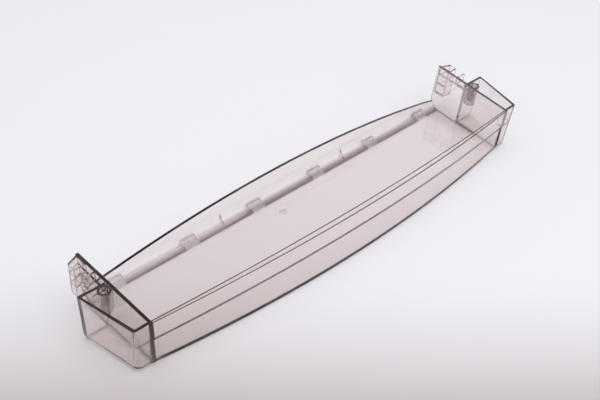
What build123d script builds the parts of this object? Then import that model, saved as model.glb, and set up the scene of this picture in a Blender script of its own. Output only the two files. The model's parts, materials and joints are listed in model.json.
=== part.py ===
"""Fridge door shelf: one clear moulded piece with a bowed front, an arched back and a pocket at each end.

Sizes are in mm. X runs along the shelf, Y to the back, Z up. The shelf is drawn with its rear plane at Y 0,
and then moved so that the origin is on the underside, in the middle of its width and depth.
"""

import os

from build123d import *

# Walls
wall = 2.5
rim_z = 47.0

# Side plates, half the shelf's width at the middle of their thickness
plate_rear_x = 215.0
plate_front_x = 211.0
plate_lean = 1.8
plate_top = 2.8
plate_foot = 3.6
plate_rise = 2.5

# Floor and back wall
tray_depth = 89.0
heel_r = 12.0
back_end_z = 8.0
back_mid_z = 29.5

# Bowed front: the lower part, the band that stands proud above it, and the thin lip on top
bow = 16.0
band_z = 27.5
band_step = 1.8
band_arch = 8.0
band_draft = 0.4
lip_ledge = 0.7
lip_t = 0.9
lip_end_h = 1.5
lip_mid_h = 6.0
panel_stations = 9

# End pockets
pocket_y = 36.0
pocket_front_y = 90.0
pocket_rear_x = 238.0
pocket_front_x = 226.0
pocket_lean = 1.5
pocket_rim_r = 3.0
pocket_foot_r = 7.0
pocket_edge_r = 1.6

# Ribs outside the rear part of each side plate
rib_t = 1.6
rib_x = 226.0
rib_bevel_y = 4.8
post_y = (13.0, 24.4)
level_z = (18.0, 28.7, 39.6)

# Round sleeves in the pocket corners
sleeve_x = 219.0
sleeve_y = 43.0
sleeve_r = 5.5
sleeve_bore = 3.6
sleeve_z = 26.5

# Feet and thin gussets that square off the round heel
foot_pitch = 75.0
foot_count = 6
foot_w = 15.0
foot_h = 4.8
gusset_t = 1.2

# Moulding mark on the underside
gate_r = 3.2
gate_depth = 0.4
gate_at = (-23.0, -27.0)

# How far one feature runs into its neighbour, or a cutter past the solid
lap = 1.0
skin = 0.3


def front_y(x):
    """Outer face of the bowed front at floor level."""
    return -(tray_depth + bow * (1 - (x / plate_front_x) ** 2))


def plate_x(y, z):
    """Middle of the side plate's thickness."""
    top = plate_rear_x + (plate_front_x - plate_rear_x) * (-y / tray_depth)
    return top - plate_lean * (1 - z / rim_z)


def plate_half(z):
    """Half the side plate's thickness."""
    return (plate_foot + (plate_top - plate_foot) * z / rim_z) / 2


def plate_top_z(y):
    """Height of the side plate's top edge."""
    return rim_z + plate_rise * (1 + y / tray_depth)


def flat(points, plane=Plane.XY):
    """A flat face with these corners."""
    return plane * make_face(Polyline(*points, close=True))


def heel_strip(reach, height):
    """Floor and back wall in one bent strip, seen from the end."""
    corners = [(-reach, 0), (0, 0), (0, height), (-wall, height), (-wall, wall), (-reach, wall)]
    strip = make_face(Polyline(*corners, close=True))
    strip = fillet(strip.vertices().group_by(Axis.Y)[0].sort_by(Axis.X)[-1], heel_r)
    inner = min(strip.vertices(), key=lambda v: (v.center() - Vector(-wall, wall)).length)
    return Plane.YZ * fillet(inner, heel_r - wall)


def tub():
    """Floor and back wall: the bent strip, trimmed to the plan and to the arch of the back."""
    long = plate_rear_x + plate_foot
    strip = extrude(heel_strip(tray_depth + bow + lap, back_mid_z + lap), long, both=True)
    rear, front = plate_x(lap, wall), plate_x(-tray_depth, wall)
    end_y, mid_y = front_y(front) + wall / 2, front_y(0) + wall / 2
    bowed = ThreePointArc((-front, end_y), (0, mid_y), (front, end_y))
    sides = Polyline((front, end_y), (rear, lap), (-rear, lap), (-front, end_y))
    plan = extrude(make_face([bowed, sides]), back_mid_z + 2 * lap)
    arch = ThreePointArc((-rear, back_end_z), (0, back_mid_z), (rear, back_end_z))
    under = Polyline((rear, back_end_z), (rear, -lap), (-rear, -lap), (-rear, back_end_z))
    below = extrude(Plane.XZ * make_face([arch, under]), 2 * tray_depth, both=True)
    return strip & plan & below


def panel_section(x, end_x):
    """The front wall cut across at x: lower part, step, band, ledge and thin lip."""
    rise = 1 - (x / end_x) ** 2
    out = front_y(x)
    band_out = out - band_step
    step_z = band_z + band_arch * rise
    top_z = rim_z + band_arch * rise
    lip_z = top_z + lip_end_h + (lip_mid_h - lip_end_h) * rise
    lip_out = band_out + lip_ledge
    lip_in = lip_out + lip_t
    points = [
        (out, -lap),
        (out - band_draft, step_z),
        (band_out, step_z),
        (band_out, top_z),
        (lip_out, top_z),
        (lip_out, lip_z),
        (lip_in, lip_z),
        (lip_in, step_z + wall / 2),
        (out - band_draft + wall, step_z - wall / 2),
        (out + wall, -lap),
    ]
    return flat(points, Plane(origin=(x, 0, 0), x_dir=(0, 1, 0), z_dir=(1, 0, 0)))


def front_panel():
    """Bowed front wall, lofted through cross-sections whose step and lip rise to the middle."""
    end_x = plate_front_x + plate_top / 2
    span = 2 * end_x / (panel_stations - 1)
    sections = [panel_section(-end_x + i * span, end_x) for i in range(panel_stations)]
    above = Pos(0, front_y(0), rim_z) * Box(3 * end_x, 4 * bow + tray_depth, 2 * rim_z)
    return loft(sections) & above


def side_plate():
    """Upright plate between the tray and the pocket, leaning out a little and thinner at its top."""
    front = tray_depth - skin
    side = make_face(Polyline((0, 0), (0, plate_top_z(0)), (-front, rim_z), (-front, 0), close=True))
    corner = side.vertices().group_by(Axis.Y)[0].sort_by(Axis.X)[-1]
    outline = extrude(Plane.YZ * fillet(corner, heel_r), 2 * plate_rear_x)
    ends = []
    for z in (-lap, rim_z + plate_rise + lap):
        t = plate_half(z)
        rear, far = lap, -tray_depth - lap
        corners = [
            (plate_x(rear, z) - t, rear),
            (plate_x(rear, z) + t, rear),
            (plate_x(far, z) + t, far),
            (plate_x(far, z) - t, far),
        ]
        ends.append(flat(corners, Plane.XY.offset(z)))
    return outline & loft(ends, ruled=True)


def pocket_section(inset, z):
    """The pocket's plan at one height; its front corner is rounder towards the foot."""
    lean = pocket_lean * (1 - z / rim_z) + inset
    near_x, rear_y, far_y = plate_front_x - inset, -pocket_y - inset, -pocket_front_y + inset
    rear_x, far_x = pocket_rear_x - lean, pocket_front_x - lean
    plan = flat([(near_x, rear_y), (rear_x, rear_y), (far_x, far_y), (near_x, far_y)])
    corner = min(plan.vertices(), key=lambda v: (v.center() - Vector(far_x, far_y)).length)
    radius = pocket_foot_r + (pocket_rim_r - pocket_foot_r) * z / rim_z - inset
    return Plane.XY.offset(z) * fillet(corner, radius)


def pocket_block(inset, low, high):
    """The pocket's outside, or its inside when inset by the wall, with round lower edges of an even wall."""
    block = loft([pocket_section(inset, low), pocket_section(inset, high)], ruled=True)
    around = block.edges().group_by(Axis.Z)[0]
    outer = around.sort_by(Axis.X)[1:]
    lower = [edge for edge in outer if edge.center().Y < -pocket_y - 2 * wall]
    return fillet(lower, pocket_edge_r + wall - inset)


def pocket():
    """Open box at the end of the shelf; the side plate is its fourth wall."""
    return pocket_block(0, 0, rim_z) - pocket_block(wall, wall, rim_z + skin)


def ladder():
    """Ribs outside the rear part of the side plate: a slanted end wall, upright posts and level shelves."""
    ribs = []
    root = plate_x(0, rim_z / 2)
    first, last = post_y[0], pocket_y + wall / 2
    cell = [(root, 0), (rib_x, -rib_bevel_y), (rib_x, -first), (root, -first)]
    levels = level_z + (plate_top_z(-first) - rib_t,)
    for z in levels:
        ribs.append(extrude(flat(cell, Plane.XY.offset(z)), rib_t))
    run = [(root, -first), (rib_x, -first), (rib_x, -last), (root, -last)]
    ribs.append(extrude(flat(run, Plane.XY.offset(level_z[-1])), rib_t))
    for y, low in zip(post_y, (level_z[0], level_z[-1])):
        post = Box(rib_x - root, rib_t, plate_top_z(-y) - low, align=(Align.MIN, Align.CENTER, Align.MIN))
        ribs.append(Pos(root, -y, low) * post)
    slant = [(root, 0), (rib_x, -rib_bevel_y), (rib_x, -rib_bevel_y - rib_t), (root, -rib_t)]
    ribs.append(extrude(flat(slant, Plane.XY.offset(level_z[0])), levels[-1] + rib_t - level_z[0]))
    return ribs


def sleeve():
    """Round sleeve hanging in the pocket's inner corner."""
    return Pos(sleeve_x, -sleeve_y, sleeve_z) * Cylinder(
        sleeve_r, rim_z - sleeve_z, align=(Align.CENTER, Align.CENTER, Align.MIN)
    )


def bore():
    """The hole down the sleeve."""
    middle_z = (rim_z + sleeve_z) / 2
    return Pos(sleeve_x, -sleeve_y, middle_z) * Cylinder(sleeve_bore, rim_z - sleeve_z + 2 * lap)


def heel_fill(height, width):
    """A block outside the round heel that squares off its corner."""
    square = Pos(-heel_r / 2, height / 2) * Rectangle(heel_r, height)
    hollow = Pos(-heel_r, heel_r) * Circle(heel_r - wall / 2)
    return extrude(Plane.YZ * (square - hollow), width / 2, both=True)


def heel_blocks():
    """Feet along the rear edge, and a thin gusset between the second and third from each end."""
    start = -foot_pitch * (foot_count - 1) / 2
    blocks = [Pos(start + i * foot_pitch, 0, 0) * heel_fill(foot_h, foot_w) for i in range(foot_count)]
    for x in (-foot_pitch, foot_pitch):
        blocks.append(Pos(x, 0, 0) * heel_fill(heel_r, gusset_t))
    return blocks


def door_shelf():
    """The whole shelf as one solid."""
    end = [side_plate(), pocket(), sleeve()] + ladder()
    ends = end + [mirror(piece, about=Plane.YZ) for piece in end]
    body = tub().fuse(front_panel(), *heel_blocks(), *ends)
    gate = Pos(*gate_at, 0) * Cylinder(gate_r, 2 * gate_depth)
    return body - [bore(), mirror(bore(), about=Plane.YZ), gate]


depth = tray_depth + bow + band_step
os.makedirs("parts", exist_ok=True)
export_step(Pos(0, depth / 2, 0) * door_shelf(), "parts/door_shelf.step")
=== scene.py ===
"""Clear fridge door shelf on a pale studio floor.

It is laid out as an add-on: one operator builds the shelf over its CAD node, the other builds the stage.
Sizes and places are in metres.
"""

import json
import math

import bmesh
import bpy
from mathutils import Matrix, Vector


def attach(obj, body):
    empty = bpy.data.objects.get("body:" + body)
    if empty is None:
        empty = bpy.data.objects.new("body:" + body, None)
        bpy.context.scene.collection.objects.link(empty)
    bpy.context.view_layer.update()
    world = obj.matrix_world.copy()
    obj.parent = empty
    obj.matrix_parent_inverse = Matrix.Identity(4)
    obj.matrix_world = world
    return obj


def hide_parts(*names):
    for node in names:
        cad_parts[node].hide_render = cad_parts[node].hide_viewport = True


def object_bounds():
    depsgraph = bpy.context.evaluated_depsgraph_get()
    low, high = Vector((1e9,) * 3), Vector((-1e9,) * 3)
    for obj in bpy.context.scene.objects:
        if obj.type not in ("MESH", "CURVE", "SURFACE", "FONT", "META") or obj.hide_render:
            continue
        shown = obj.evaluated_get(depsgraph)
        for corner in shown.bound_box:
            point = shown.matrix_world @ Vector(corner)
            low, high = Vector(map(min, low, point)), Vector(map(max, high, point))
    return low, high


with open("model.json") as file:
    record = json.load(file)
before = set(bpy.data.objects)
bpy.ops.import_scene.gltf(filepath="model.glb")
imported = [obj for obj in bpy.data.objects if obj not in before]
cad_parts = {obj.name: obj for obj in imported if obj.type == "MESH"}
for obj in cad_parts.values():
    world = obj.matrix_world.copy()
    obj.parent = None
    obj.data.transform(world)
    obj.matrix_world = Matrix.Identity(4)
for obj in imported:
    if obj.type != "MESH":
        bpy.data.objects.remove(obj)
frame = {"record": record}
cad_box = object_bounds()

bl_info = {
    "name": "Fridge door shelf",
    "version": (1, 0, 0),
    "blender": (4, 5, 0),
    "location": "View3D > Sidebar > Door shelf",
    "description": "Builds a clear moulded fridge door shelf and a plain studio around it",
    "category": "Object",
}

NODE = "door_shelf"
BODY = "root"
VALUE = "NodeSocketFloat"
VECTOR = "NodeSocketVector"
MM = 0.001

# Places on the moulding
BACK_Y = cad_box[1][1]
FRONT_Y = -0.03
HEEL_RADIUS = 0.012
MARK_X = -0.023
MARK_FROM_BACK = 0.027

# How near to a face or a line a point has to lie to count as on it
ON_FACE = 0.00013
RING_HALF = 0.0006
MERGE_DISTANCE = 1e-6
LEVEL_NORMAL = 0.9

# Shares of a feature's own size
RING_SHARE = 0.84
SLEEVE_SHARE = 1.04
HEEL_SHARE = 0.95
FOOT_HALF_SHARE = 0.51
FOOT_TOP_SHARE = 1.02
SHADE_START_SHARE = 0.35
SHADE_END_SHARE = 0.55

# Wear from handling: broad patches and fine scuffs along the shelf
PATCH_SCALE = 14.0
PATCH_DETAIL = 3.0
PATCH_LEVEL = 0.48
PATCH_GAIN = 2.0
SCUFF_SCALE = 900.0
SCUFF_DETAIL = 2.0
SCUFF_STRETCH = (0.08, 1.0, 1.0)
SCUFF_LEVEL = 0.62
SCUFF_GAIN = 1.5

# Waves in the faces, rounded edges, and the light's way through the plastic
WAVE_DETAIL = 1.0
EDGE_SAMPLES = 6
CLEAR_BOUNCES = 64


def sleeve_foot():
    """Middle of the right-hand sleeve's foot, from the record's mount at the middle of its bore."""
    bore = next(mount for mount in frame["record"]["mounts"] if mount["name"] == "right_sleeve")
    x, y, z = bore["pos_m"]
    return x, y, z - bore["dims"]["length_mm"] * MM / 2 - ON_FACE


def number(name, description, default, low=0.0, unit="NONE"):
    """A plain number."""
    return bpy.props.FloatProperty(
        name=name, description=description, unit=unit, min=low, default=default
    )


def share(name, description, default):
    """A number from nought to one."""
    return bpy.props.FloatProperty(
        name=name, description=description, subtype="FACTOR", min=0.0, max=1.0, default=default
    )


def length(name, description, default, low=0.0):
    """A length."""
    return bpy.props.FloatProperty(
        name=name, description=description, subtype="DISTANCE", unit="LENGTH", min=low, default=default
    )


def angle(name, description, degrees):
    """An angle."""
    return bpy.props.FloatProperty(
        name=name, description=description, subtype="ANGLE", default=math.radians(degrees)
    )


def colour(name, description, default):
    """A colour."""
    return bpy.props.FloatVectorProperty(
        name=name, description=description, subtype="COLOR", size=3, min=0.0, max=1.0, default=default
    )


def point(name, description, default):
    """A place."""
    return bpy.props.FloatVectorProperty(
        name=name, description=description, subtype="TRANSLATION", unit="LENGTH", size=3, default=default
    )


def direction(name, description, default):
    """A direction."""
    return bpy.props.FloatVectorProperty(
        name=name, description=description, subtype="DIRECTION", size=3, default=default
    )


class ShelfPlasticSettings(bpy.types.PropertyGroup):
    """How the moulded plastic looks."""

    tint: colour("Tint", "Colour that a long way through the plastic keeps", (0.48, 0.39, 0.38))
    density: number("Density", "Absorption along one metre of plastic", 52.0)
    skin_colour: colour(
        "Skin colour", "Colour that each pass through the surface keeps", (1.0, 0.969, 0.957)
    )
    ior: number("IOR", "Index of refraction", 1.57, low=1.0)
    roughness: share("Roughness", "Roughness of the polished faces", 0.01)
    haze: share("Haze", "Roughness added where handling has dulled the faces", 0.05)

    # Painted shade: the walls' tops and front corners are painted dark, standing in for light lost inside
    # the plastic.
    edge_painted_shade_colour: colour("Edge colour", "Colour of the walls' tops and front corners", (0.11, 0.062, 0.068))
    edge_above: length("Edge above", "Level faces above this height are tops of walls", 0.006)
    edge_radius: length("Edge radius", "Radius of the moulded edges in the shading", 0.0006)
    rib_place: point(
        "Rib place", "The ribs lie further out than X and further back than Y", (0.2168, 0.0178, 0.0)
    )
    corner_place: point(
        "Corner place", "Middle of the right-hand front corner at the rim; its edge lies in front of Y",
        (0.2111, -0.0345, 0.047),
    )
    corner_half: length("Corner half width", "Half the width of the dark front corners", 0.0014)
    corner_lean: length("Corner lean", "How far the corners lean in at their foot", 0.0018)

    # Painted shade: the thick round sleeves are painted darker than the clear plastic around them.
    sleeve_painted_shade_colour: colour("Sleeve colour", "Shade of the thick round sleeves", (0.62, 0.56, 0.57))
    sleeve_axis: point("Sleeve axis", "Middle of the right-hand sleeve's foot", sleeve_foot())
    sleeve_radius: length("Sleeve radius", "Outer radius of the sleeves", 0.0055)

    mark_place: point("Mark place", "Middle of the moulding mark", (MARK_X, BACK_Y - MARK_FROM_BACK, 0.0))
    mark_radius: length("Mark radius", "Radius of the moulding mark", 0.0032)
    mark_roughness: share("Mark roughness", "Roughness of the moulding mark", 0.30)

    # Painted shade along the foot of the round heel, between the feet.
    heel_painted_shade_colour: colour("Heel colour", "Shade along the foot of the round heel", (0.42, 0.34, 0.35))
    heel_axis: point(
        "Heel axis", "Line that the round heel is turned about", (0.0, BACK_Y - HEEL_RADIUS, HEEL_RADIUS)
    )
    heel_radius: length("Heel radius", "Outer radius of the heel", HEEL_RADIUS)
    heel_wall: length("Heel wall", "Thickness of the heel", 0.0025)
    heel_fade: angle("Heel fade", "Angle round the heel over which its shade fades", 52)

    foot_pitch: length("Foot pitch", "Distance between the feet", 0.075)
    foot_width: length("Foot width", "Width of a foot", 0.015)
    foot_height: length("Foot height", "Height of a foot", 0.0048)
    foot_colour: colour("Foot colour", "Colour of the feet's skin", (0.98, 0.95, 0.94))
    foot_roughness: share("Foot roughness", "Roughness of the feet", 0.6)

    under_height: length("Underside height", "Faces below this height belong to the underside", 0.0003)
    under_start: length(
        "Underside start", "Distance from the middle where the underside begins to be dull", 0.180
    )
    under_end: length("Underside end", "Distance from the middle where it is fully dull", 0.208)
    under_stop: length("Underside stop", "Distance from the middle beyond which it is clear again", 0.2175)
    under_front: length(
        "Underside front", "The dull underside ends here, short of the front wall", -0.031, low=-1.0
    )
    under_roughness: share("Underside roughness", "Roughness of the dull underside", 0.4)

    # Painted shade: a dark line painted along the front band's lower edge.
    crease_painted_shade_colour: colour("Crease colour", "Shade along the front band's lower edge", (0.22, 0.17, 0.18))
    crease_half: length("Crease half length", "Half the length of the front band", 0.2124, low=0.001)
    crease_low: length("Crease height", "Height of the band's lower edge at its ends", 0.0275)
    crease_arch: length("Crease arch", "How much higher the edge is in the middle", 0.008)
    crease_width: length("Crease width", "Width of the dark edge", 0.0010)

    wave_scale: number("Wave scale", "Waves per metre left by the cooling plastic", 22.0)
    wave_height: length("Wave height", "Height of those waves", 0.00008)
    crease_angle: angle("Crease angle", "Faces that meet at a larger angle keep a hard edge", 28)


class ShelfStageSettings(bpy.types.PropertyGroup):
    """The floor, the light and the camera."""

    floor_colour: colour("Floor colour", "Colour of the floor", (0.80, 0.79, 0.82))
    floor_roughness: share("Floor roughness", "Roughness of the floor", 0.9)
    floor_shine: share("Floor shine", "Strength of the floor's reflection", 0.1)
    floor_reach: length("Floor reach", "Half the floor's width", 3.0)
    floor_gap: length("Floor gap", "How far the floor lies under the shelf", 0.0004)

    # Painted shade on the floor in the foreground; the settings below place it.
    near_painted_shade_colour: colour("Near colour", "Colour of the floor in the foreground", (0.53, 0.48, 0.49))
    near_way: direction("Near way", "Direction along the floor to the foreground", (-0.643, -0.766, 0.0))
    near_start: length("Near start", "Where the foreground begins", 0.055)
    near_end: length("Near end", "Where the foreground has its full colour", 0.20)
    near_side: length("Near side", "Half the foreground's width", 0.24)
    near_fade: length("Near fade", "Distance over which the foreground fades out", 0.30)

    sky_colour: colour("Sky colour", "Colour of the surroundings", (0.97, 0.97, 1.0))
    low_strength: number("Low strength", "Strength of the pale surroundings low down", 1.10)
    high_strength: number("High strength", "Strength of the surroundings overhead", 0.20)
    low_angle: angle("Low angle", "Angle above the floor up to which the surroundings are pale", 38)
    high_angle: angle("High angle", "Angle above the floor from which they are dim", 58)

    key_power: number("Key power", "Power of the large lamp above", 11.5, unit="POWER")
    key_place: point("Key place", "Where the large lamp above hangs", (0.0, 0.0, 1.5))
    fill_power: number("Fill power", "Power of the lamp in front", 4.0, unit="POWER")
    fill_place: point("Fill place", "Where the lamp in front stands", (0.5, -1.1, 1.1))
    lamp_size: length("Lamp size", "Width of the two square lamps", 1.6)

    lens: number("Lens", "Focal length in millimetres", 52.65, low=1.0)
    sensor: number("Sensor", "Width of the camera's sensor in millimetres", 36.0, low=1.0)
    clip: length("Clip", "Nearest distance that the camera shows", 0.01)
    place: point("Place", "Where the camera stands", (-0.437497, -0.384049, 0.536806))
    right: direction("Right", "Direction to the right of the picture", (0.729524, -0.680141, 0.072128))
    forward: direction("Forward", "Direction the camera looks along", (0.543466, 0.512415, -0.664887))


def feed(tree, socket, value):
    """Links a socket to an input, or sets a plain value on it."""
    if isinstance(value, bpy.types.NodeSocket):
        tree.links.new(value, socket)
    else:
        socket.default_value = value


def math_node(tree, operation, *values, clamp=False):
    """A math node fed by sockets or plain numbers; gives its output."""
    node = tree.nodes.new("ShaderNodeMath")
    node.operation = operation
    node.use_clamp = clamp
    for socket, value in zip(node.inputs, values):
        feed(tree, socket, value)
    return node.outputs["Value"]


def product(tree, first, *others):
    """All of these multiplied together; of masks, the part that they share."""
    for other in others:
        first = math_node(tree, "MULTIPLY", first, other)
    return first


def vector_math(tree, operation, *vectors):
    """A vector math node fed by sockets; gives its value."""
    node = tree.nodes.new("ShaderNodeVectorMath")
    node.operation = operation
    for socket, vector in zip(node.inputs, vectors):
        tree.links.new(vector, socket)
    return node.outputs["Value"]


def object_place(tree):
    """A point's place on the piece."""
    return tree.nodes.new("ShaderNodeTexCoord").outputs["Object"]


def split_vector(tree, vector):
    """The three parts of a vector."""
    parts = tree.nodes.new("ShaderNodeSeparateXYZ")
    tree.links.new(vector, parts.inputs["Vector"])
    return parts.outputs["X"], parts.outputs["Y"], parts.outputs["Z"]


def range_share(tree, value, start, end, kind="SMOOTHSTEP", low=0.0, high=1.0):
    """Goes from low to high as a value goes from start to end, and stays there beyond."""
    node = tree.nodes.new("ShaderNodeMapRange")
    node.interpolation_type = kind
    for name, given in (
        ("Value", value), ("From Min", start), ("From Max", end), ("To Min", low), ("To Max", high)
    ):
        feed(tree, node.inputs[name], given)
    return node.outputs["Result"]


def distance_from(tree, values, axis):
    """Distance from an axis, from the two coordinates across it."""
    gaps = [math_node(tree, "SUBTRACT", value, middle) for value, middle in zip(values, axis)]
    squares = [math_node(tree, "MULTIPLY", gap, gap) for gap in gaps]
    return math_node(tree, "SQRT", math_node(tree, "ADD", *squares))


def noise_value(tree, vector, scale, detail):
    """Soft noise between nought and one."""
    noise = tree.nodes.new("ShaderNodeTexNoise")
    tree.links.new(vector, noise.inputs["Vector"])
    feed(tree, noise.inputs["Scale"], scale)
    noise.inputs["Detail"].default_value = detail
    return noise.outputs["Fac"]


def new_group(name, inputs, output, kind=VALUE):
    """A shader node group with its named sockets; gives its inputs and its one output too."""
    group = bpy.data.node_groups.new(name, "ShaderNodeTree")
    for label, socket_type in inputs.items():
        group.interface.new_socket(label, in_out="INPUT", socket_type=socket_type)
    group.interface.new_socket(output, in_out="OUTPUT", socket_type=kind)
    given = group.nodes.new("NodeGroupInput").outputs
    return group, given, group.nodes.new("NodeGroupOutput").inputs[output]


def mould_wave_group():
    """Normals of faces with shallow waves, where the plastic cooled unevenly, and slightly round edges."""
    group, given, result = new_group(
        "mould_wave", {"Scale": VALUE, "Height": VALUE, "Edge": VALUE}, "Normal", VECTOR
    )
    edge = group.nodes.new("ShaderNodeBevel")
    edge.samples = EDGE_SAMPLES
    group.links.new(given["Edge"], edge.inputs["Radius"])
    bump = group.nodes.new("ShaderNodeBump")
    bump.inputs["Strength"].default_value = 1.0
    waves = noise_value(group, object_place(group), given["Scale"], WAVE_DETAIL)
    group.links.new(waves, bump.inputs["Height"])
    group.links.new(given["Height"], bump.inputs["Distance"])
    group.links.new(edge.outputs["Normal"], bump.inputs["Normal"])
    group.links.new(bump.outputs["Normal"], result)
    return group


def handling_wear_group():
    """Roughness of faces that hands and cloths have dulled in patches and scuffs."""
    group, given, result = new_group("handling_wear", {"Roughness": VALUE, "Haze": VALUE}, "Roughness")
    place = object_place(group)
    stretch = group.nodes.new("ShaderNodeMapping")
    stretch.inputs["Scale"].default_value = SCUFF_STRETCH
    group.links.new(place, stretch.inputs["Vector"])
    patches = noise_value(group, place, PATCH_SCALE, PATCH_DETAIL)
    scuffs = noise_value(group, stretch.outputs["Vector"], SCUFF_SCALE, SCUFF_DETAIL)
    patch = math_node(group, "SUBTRACT", patches, PATCH_LEVEL, clamp=True)
    scuff = math_node(group, "SUBTRACT", scuffs, SCUFF_LEVEL, clamp=True)
    dull = math_node(group, "ADD", product(group, patch, PATCH_GAIN), product(group, scuff, SCUFF_GAIN))
    added = product(group, dull, given["Haze"])
    group.links.new(math_node(group, "ADD", added, given["Roughness"], clamp=True), result)
    return group


def painted_edge_shade_mask_group():
    """Mask of the painted shade on the narrow edges that are looked into lengthwise: the walls' tops and
    the front corners.
    """
    group, given, result = new_group(
        "painted_edge_shade_mask",
        {"Above": VALUE, "Ribs": VECTOR, "Corner": VECTOR, "Half": VALUE, "Lean": VALUE},
        "Mask",
    )
    x, y, z = split_vector(group, object_place(group))
    far = math_node(group, "ABSOLUTE", x)
    rib_x, rib_y, _ = split_vector(group, given["Ribs"])
    beyond = math_node(group, "GREATER_THAN", far, rib_x)
    rib = product(group, beyond, math_node(group, "GREATER_THAN", y, rib_y))
    corner_x, corner_y, rim = split_vector(group, given["Corner"])
    below = math_node(group, "SUBTRACT", 1.0, math_node(group, "DIVIDE", z, rim))
    middle = math_node(group, "SUBTRACT", corner_x, product(group, below, given["Lean"]))
    across = math_node(group, "ABSOLUTE", math_node(group, "SUBTRACT", far, middle))
    narrow = math_node(group, "LESS_THAN", across, given["Half"])
    corner = product(group, narrow, math_node(group, "LESS_THAN", y, corner_y))
    surface = group.nodes.new("ShaderNodeNewGeometry")
    _, _, up = split_vector(group, surface.outputs["True Normal"])
    level = math_node(group, "GREATER_THAN", math_node(group, "ABSOLUTE", up), LEVEL_NORMAL)
    top = product(group, level, math_node(group, "GREATER_THAN", z, given["Above"]))
    top = math_node(group, "SUBTRACT", top, rib, clamp=True)
    group.links.new(math_node(group, "MAXIMUM", top, corner), result)
    return group


def near_axis_group():
    """Mask of what lies round an upright axis, from its foot upwards; both ends of the shelf count."""
    group, given, result = new_group("near_axis", {"Axis": VECTOR, "Radius": VALUE}, "Mask")
    x, y, z = split_vector(group, object_place(group))
    axis_x, axis_y, axis_z = split_vector(group, given["Axis"])
    away = distance_from(group, (math_node(group, "ABSOLUTE", x), y), (axis_x, axis_y))
    near = math_node(group, "LESS_THAN", away, given["Radius"])
    group.links.new(product(group, near, math_node(group, "GREATER_THAN", z, axis_z)), result)
    return group


def moulding_mark_group():
    """Mask of the dull ring of the mark under the floor."""
    group, given, result = new_group("moulding_mark", {"Middle": VECTOR, "Radius": VALUE}, "Mask")
    gap = vector_math(group, "DISTANCE", object_place(group), given["Middle"])
    ring = product(group, given["Radius"], RING_SHARE)
    group.links.new(math_node(group, "COMPARE", gap, ring, RING_HALF), result)
    return group


def crease_group():
    """Mask of the painted shade along the arched lower edge of the front band."""
    group, given, result = new_group(
        "crease", {"Half": VALUE, "Low": VALUE, "Arch": VALUE, "Width": VALUE}, "Mask"
    )
    x, y, z = split_vector(group, object_place(group))
    along = math_node(group, "DIVIDE", x, given["Half"])
    rise = math_node(group, "SUBTRACT", 1.0, product(group, along, along), clamp=True)
    edge = math_node(group, "ADD", product(group, rise, given["Arch"]), given["Low"])
    over = math_node(group, "SUBTRACT", z, edge)
    above = math_node(group, "GREATER_THAN", over, -ON_FACE)
    below = math_node(group, "LESS_THAN", over, given["Width"])
    front = math_node(group, "LESS_THAN", y, FRONT_Y)
    group.links.new(product(group, above, below, front), result)
    return group


def foot_gap(group, x, pitch):
    """Distance along the shelf to the nearest foot; the shelf's middle lies half way between two feet."""
    half = product(group, pitch, 0.5)
    return math_node(group, "PINGPONG", math_node(group, "SUBTRACT", x, half), half)


def heel_painted_shade_mask_group():
    """Mask of the painted shade round the heel between the feet: strongest at its foot, fading up to the
    back.
    """
    group, given, result = new_group(
        "heel_painted_shade_mask",
        {"Axis": VECTOR, "Radius": VALUE, "Wall": VALUE, "Fade": VALUE, "Pitch": VALUE, "Width": VALUE},
        "Mask",
    )
    x, y, z = split_vector(group, object_place(group))
    _, axis_y, axis_z = split_vector(group, given["Axis"])
    back = math_node(group, "SUBTRACT", y, axis_y)
    down = math_node(group, "SUBTRACT", axis_z, z)
    away = distance_from(group, (y, z), (axis_y, axis_z))
    outer = math_node(group, "COMPARE", away, given["Radius"], ON_FACE)
    inner_radius = math_node(group, "SUBTRACT", given["Radius"], given["Wall"])
    inner = math_node(group, "COMPARE", away, inner_radius, ON_FACE)
    behind = math_node(group, "GREATER_THAN", back, 0.0)
    turn = math_node(group, "DIVIDE", math_node(group, "ARCTAN2", back, down), given["Fade"])
    fade = math_node(group, "SUBTRACT", 1.0, turn, clamp=True)
    between = range_share(
        group,
        foot_gap(group, x, given["Pitch"]),
        product(group, given["Width"], SHADE_START_SHARE),
        product(group, given["Width"], SHADE_END_SHARE),
    )
    faces = math_node(group, "MAXIMUM", outer, inner)
    group.links.new(product(group, faces, behind, fade, between), result)
    return group


def foot_group():
    """Mask of the feet under the heel."""
    group, given, result = new_group(
        "foot", {"Axis": VECTOR, "Radius": VALUE, "Pitch": VALUE, "Width": VALUE, "Height": VALUE}, "Mask"
    )
    x, y, z = split_vector(group, object_place(group))
    _, axis_y, axis_z = split_vector(group, given["Axis"])
    away = distance_from(group, (y, z), (axis_y, axis_z))
    outside = math_node(group, "GREATER_THAN", away, product(group, given["Radius"], HEEL_SHARE))
    half = product(group, given["Width"], FOOT_HALF_SHARE)
    across = math_node(group, "LESS_THAN", foot_gap(group, x, given["Pitch"]), half)
    low = math_node(group, "LESS_THAN", z, product(group, given["Height"], FOOT_TOP_SHARE))
    behind = math_node(group, "GREATER_THAN", y, axis_y)
    group.links.new(product(group, across, low, behind, outside), result)
    return group


def underside_group():
    """Mask of the dull underside: it grows towards the ends, and stops beyond the side plates.

    It ends short of the front wall too.
    """
    group, given, result = new_group(
        "underside", {"Height": VALUE, "Start": VALUE, "End": VALUE, "Stop": VALUE, "Front": VALUE}, "Mask"
    )
    x, y, z = split_vector(group, object_place(group))
    far = math_node(group, "ABSOLUTE", x)
    low = math_node(group, "LESS_THAN", z, given["Height"])
    back = math_node(group, "GREATER_THAN", y, given["Front"])
    grown = range_share(group, far, given["Start"], given["End"])
    short = math_node(group, "LESS_THAN", far, given["Stop"])
    group.links.new(product(group, low, back, grown, short), result)
    return group


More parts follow.
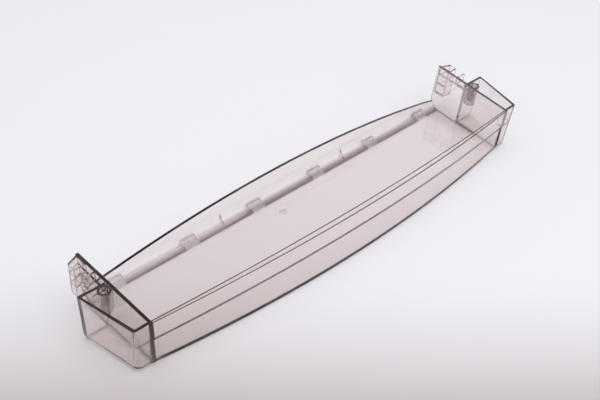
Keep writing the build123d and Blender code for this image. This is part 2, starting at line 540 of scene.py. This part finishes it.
def foreground_painted_shade_group():
    """Mask of a soft painted shade on the floor: it grows along a way, and fades out beyond its end and
    sides.
    """
    group, given, result = new_group(
        "foreground", {"Way": VECTOR, "Start": VALUE, "End": VALUE, "Side": VALUE, "Fade": VALUE}, "Mask"
    )
    place = object_place(group)
    along = vector_math(group, "DOT_PRODUCT", place, given["Way"])
    reach = vector_math(group, "LENGTH", place)
    squares = [math_node(group, "MULTIPLY", value, value) for value in (reach, along)]
    beside = math_node(group, "SQRT", math_node(group, "SUBTRACT", *squares))
    share_along = range_share(group, along, given["Start"], given["End"], kind="LINEAR")
    shade = product(group, share_along, share_along)
    for value, start in ((along, given["End"]), (beside, given["Side"])):
        gone = range_share(group, value, start, math_node(group, "ADD", start, given["Fade"]))
        shade = product(group, shade, math_node(group, "SUBTRACT", 1.0, gone))
    group.links.new(shade, result)
    return group


def use_group(tree, group, **values):
    """A group in a material, with its inputs set; gives its output."""
    node = tree.nodes.new("ShaderNodeGroup")
    node.node_tree = group
    for name, value in values.items():
        node.inputs[name].default_value = value
    return node.outputs[0]


def mix_node(tree, kind, mask, first, second):
    """Goes from the first value or colour to the second where the mask is set."""
    node = tree.nodes.new("ShaderNodeMix")
    node.data_type = kind
    suffix = {"FLOAT": "_Float", "RGBA": "_Color"}[kind]
    sockets = {socket.identifier: socket for socket in node.inputs}
    tree.links.new(mask, sockets["Factor_Float"])
    feed(tree, sockets["A" + suffix], first)
    feed(tree, sockets["B" + suffix], second)
    return next(socket for socket in node.outputs if socket.identifier == "Result" + suffix)


def opaque(rgb):
    """A colour with its alpha, as colour sockets take it."""
    return (*rgb, 1.0)


def clear_plastic(look):
    """Smoky clear plastic: a smooth refracting skin around a tinted inside, with painted shade on the
    edges, sleeves, crease and heel.
    """
    material = bpy.data.materials.new("clear_smoke_plastic")
    material.use_nodes = True
    tree = material.node_tree
    shader = tree.nodes["Principled BSDF"]

    # Painted shade on the walls' tops and front corners
    edge = use_group(
        tree, painted_edge_shade_mask_group(), Above=look.edge_above, Ribs=look.rib_place, Corner=look.corner_place,
        Half=look.corner_half, Lean=look.corner_lean,
    )
    # Painted shade on the thick round sleeves
    sleeve = use_group(
        tree, near_axis_group(), Axis=look.sleeve_axis, Radius=look.sleeve_radius * SLEEVE_SHARE
    )
    # Painted shade round the heel between the feet
    heel = use_group(
        tree, heel_painted_shade_mask_group(), Axis=look.heel_axis, Radius=look.heel_radius, Wall=look.heel_wall,
        Fade=look.heel_fade, Pitch=look.foot_pitch, Width=look.foot_width,
    )
    foot = use_group(
        tree, foot_group(), Axis=look.heel_axis, Radius=look.heel_radius, Pitch=look.foot_pitch,
        Width=look.foot_width, Height=look.foot_height,
    )
    # Painted shade along the front band's lower edge
    crease = use_group(
        tree, crease_group(), Half=look.crease_half, Low=look.crease_low, Arch=look.crease_arch,
        Width=look.crease_width,
    )
    # The skin's colour takes the feet's own tint, and painted shade on the sleeves, the crease, the edges
    # and the heel.
    skin = opaque(look.skin_colour)
    for mask, shade in (
        (sleeve, look.sleeve_painted_shade_colour), (foot, look.foot_colour), (crease, look.crease_painted_shade_colour),
        (edge, look.edge_painted_shade_colour), (heel, look.heel_painted_shade_colour),
    ):
        skin = mix_node(tree, "RGBA", mask, skin, opaque(shade))
    tree.links.new(skin, shader.inputs["Base Color"])

    mark = use_group(tree, moulding_mark_group(), Middle=look.mark_place, Radius=look.mark_radius)
    under = use_group(
        tree, underside_group(), Height=look.under_height, Start=look.under_start, End=look.under_end,
        Stop=look.under_stop, Front=look.under_front,
    )
    dull = use_group(tree, handling_wear_group(), Roughness=look.roughness, Haze=look.haze)
    for mask, roughness in (
        (mark, look.mark_roughness), (foot, look.foot_roughness), (under, look.under_roughness)
    ):
        dull = mix_node(tree, "FLOAT", mask, dull, roughness)
    tree.links.new(dull, shader.inputs["Roughness"])

    wave = use_group(
        tree, mould_wave_group(), Scale=look.wave_scale, Height=look.wave_height, Edge=look.edge_radius
    )
    tree.links.new(wave, shader.inputs["Normal"])
    shader.inputs["Metallic"].default_value = 0.0
    shader.inputs["IOR"].default_value = look.ior
    shader.inputs["Transmission Weight"].default_value = 1.0

    inside = tree.nodes.new("ShaderNodeVolumeAbsorption")
    inside.inputs["Color"].default_value = opaque(look.tint)
    inside.inputs["Density"].default_value = look.density
    tree.links.new(inside.outputs["Volume"], tree.nodes["Material Output"].inputs["Volume"])
    return material


def crisp_copy(source, name, hard_angle):
    """A copy of a CAD node's mesh with merged corners, and hard edges where faces meet at an angle."""
    mesh = source.data.copy()
    mesh.name = name
    shape = bmesh.new()
    shape.from_mesh(mesh)
    bmesh.ops.remove_doubles(shape, verts=shape.verts, dist=MERGE_DISTANCE)
    bmesh.ops.recalc_face_normals(shape, faces=shape.faces)
    for face in shape.faces:
        face.smooth = True
    for edge in shape.edges:
        edge.smooth = edge.is_manifold and edge.calc_face_angle(0.0) < hard_angle
    shape.to_mesh(mesh)
    shape.free()
    if "custom_normal" in mesh.attributes:
        mesh.attributes.remove(mesh.attributes["custom_normal"])
    mesh.materials.clear()
    return mesh


class SHELF_OT_body(bpy.types.Operator):
    """Builds the clear shelf over its CAD node"""

    bl_idname = "shelf.body"
    bl_label = "Build shelf"

    def execute(self, context):
        look = context.scene.shelf_plastic
        source = bpy.data.objects.get(NODE)
        if source is None:
            raise RuntimeError("the shelf's CAD node isn't in the scene")
        piece = bpy.data.objects.new("shelf_clear", crisp_copy(source, "shelf_clear", look.crease_angle))
        context.scene.collection.objects.link(piece)
        piece.data.materials.append(clear_plastic(look))
        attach(piece, BODY)
        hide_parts(NODE)
        return {"FINISHED"}


def floor_material(stage):
    """Plain pale matt floor, with a painted shade that darkens it in the foreground."""
    material = bpy.data.materials.new("studio_floor")
    material.use_nodes = True
    tree = material.node_tree
    shader = tree.nodes["Principled BSDF"]
    near = use_group(
        tree, foreground_painted_shade_group(), Way=stage.near_way, Start=stage.near_start, End=stage.near_end,
        Side=stage.near_side, Fade=stage.near_fade,
    )
    shade = mix_node(tree, "RGBA", near, opaque(stage.floor_colour), opaque(stage.near_painted_shade_colour))
    tree.links.new(shade, shader.inputs["Base Color"])
    shader.inputs["Roughness"].default_value = stage.floor_roughness
    shader.inputs["Specular IOR Level"].default_value = stage.floor_shine
    return material


def studio_floor(stage):
    """A wide level sheet just under the shelf."""
    mesh = bpy.data.meshes.new("studio_floor")
    reach, low = stage.floor_reach, -stage.floor_gap
    corners = [(-reach, -reach, low), (reach, -reach, low), (reach, reach, low), (-reach, reach, low)]
    mesh.from_pydata(corners, [], [(0, 1, 2, 3)])
    mesh.materials.append(floor_material(stage))
    return bpy.data.objects.new("studio_floor", mesh)


def studio_world(stage):
    """Pale surroundings that are brighter low down than overhead."""
    world = bpy.data.worlds.new("studio_world")
    world.use_nodes = True
    tree = world.node_tree
    background = tree.nodes["Background"]
    background.inputs["Color"].default_value = opaque(stage.sky_colour)
    way = tree.nodes.new("ShaderNodeTexCoord")
    _, _, up = split_vector(tree, way.outputs["Generated"])
    strength = range_share(
        tree, up, math.sin(stage.low_angle), math.sin(stage.high_angle),
        low=stage.low_strength, high=stage.high_strength,
    )
    tree.links.new(strength, background.inputs["Strength"])
    return world


def area_lamp(name, place, size, power):
    """A large soft square lamp that looks at the shelf."""
    lamp = bpy.data.lights.new(name, "AREA")
    lamp.size = size
    lamp.energy = power
    holder = bpy.data.objects.new(name, lamp)
    holder.location = place
    holder.rotation_euler = (-Vector(place)).to_track_quat("-Z", "Y").to_euler()
    return holder


def photo_camera(stage):
    """A camera at the photograph's angle."""
    camera = bpy.data.cameras.new("camera")
    camera.lens = stage.lens
    camera.sensor_width = stage.sensor
    camera.clip_start = stage.clip
    holder = bpy.data.objects.new("camera", camera)
    forward = Vector(stage.forward).normalized()
    right = (Vector(stage.right) - forward * forward.dot(Vector(stage.right))).normalized()
    turn = Matrix((right, right.cross(forward), -forward)).transposed().to_4x4()
    holder.matrix_world = Matrix.Translation(stage.place) @ turn
    return holder


class SHELF_OT_stage(bpy.types.Operator):
    """Builds the floor, the light and the camera"""

    bl_idname = "shelf.stage"
    bl_label = "Build stage"

    def execute(self, context):
        scene = context.scene
        stage = scene.shelf_stage
        floor = studio_floor(stage)
        key = area_lamp("key_lamp", stage.key_place, stage.lamp_size, stage.key_power)
        fill = area_lamp("fill_lamp", stage.fill_place, stage.lamp_size, stage.fill_power)
        camera = photo_camera(stage)
        for item in (floor, key, fill, camera):
            scene.collection.objects.link(item)
        scene.world = studio_world(stage)
        scene.camera = camera
        scene.view_settings.view_transform = "Standard"
        scene.cycles.max_bounces = CLEAR_BOUNCES
        scene.cycles.glossy_bounces = CLEAR_BOUNCES
        scene.cycles.transmission_bounces = CLEAR_BOUNCES
        scene.cycles.blur_glossy = 0.0
        return {"FINISHED"}


class SHELF_PT_panel(bpy.types.Panel):
    """Settings and buttons of the shelf"""

    bl_idname = "SHELF_PT_panel"
    bl_label = "Door shelf"
    bl_space_type = "VIEW_3D"
    bl_region_type = "UI"
    bl_category = "Door shelf"

    def draw(self, context):
        for settings in (context.scene.shelf_plastic, context.scene.shelf_stage):
            box = self.layout.box()
            for name in settings.bl_rna.properties.keys():
                if name not in {"rna_type", "name"}:
                    box.prop(settings, name)
        self.layout.operator(SHELF_OT_body.bl_idname)
        self.layout.operator(SHELF_OT_stage.bl_idname)


CLASSES = (ShelfPlasticSettings, ShelfStageSettings, SHELF_OT_body, SHELF_OT_stage, SHELF_PT_panel)


def register():
    """Adds the settings, the operators and the panel."""
    for cls in CLASSES:
        bpy.utils.register_class(cls)
    bpy.types.Scene.shelf_plastic = bpy.props.PointerProperty(type=ShelfPlasticSettings)
    bpy.types.Scene.shelf_stage = bpy.props.PointerProperty(type=ShelfStageSettings)


def unregister():
    """Takes them out again."""
    del bpy.types.Scene.shelf_stage
    del bpy.types.Scene.shelf_plastic
    for cls in reversed(CLASSES):
        bpy.utils.unregister_class(cls)


def main():
    """Builds everything."""
    register()
    bpy.ops.shelf.body()
    bpy.ops.shelf.stage()


if __name__ == "__main__":
    main()
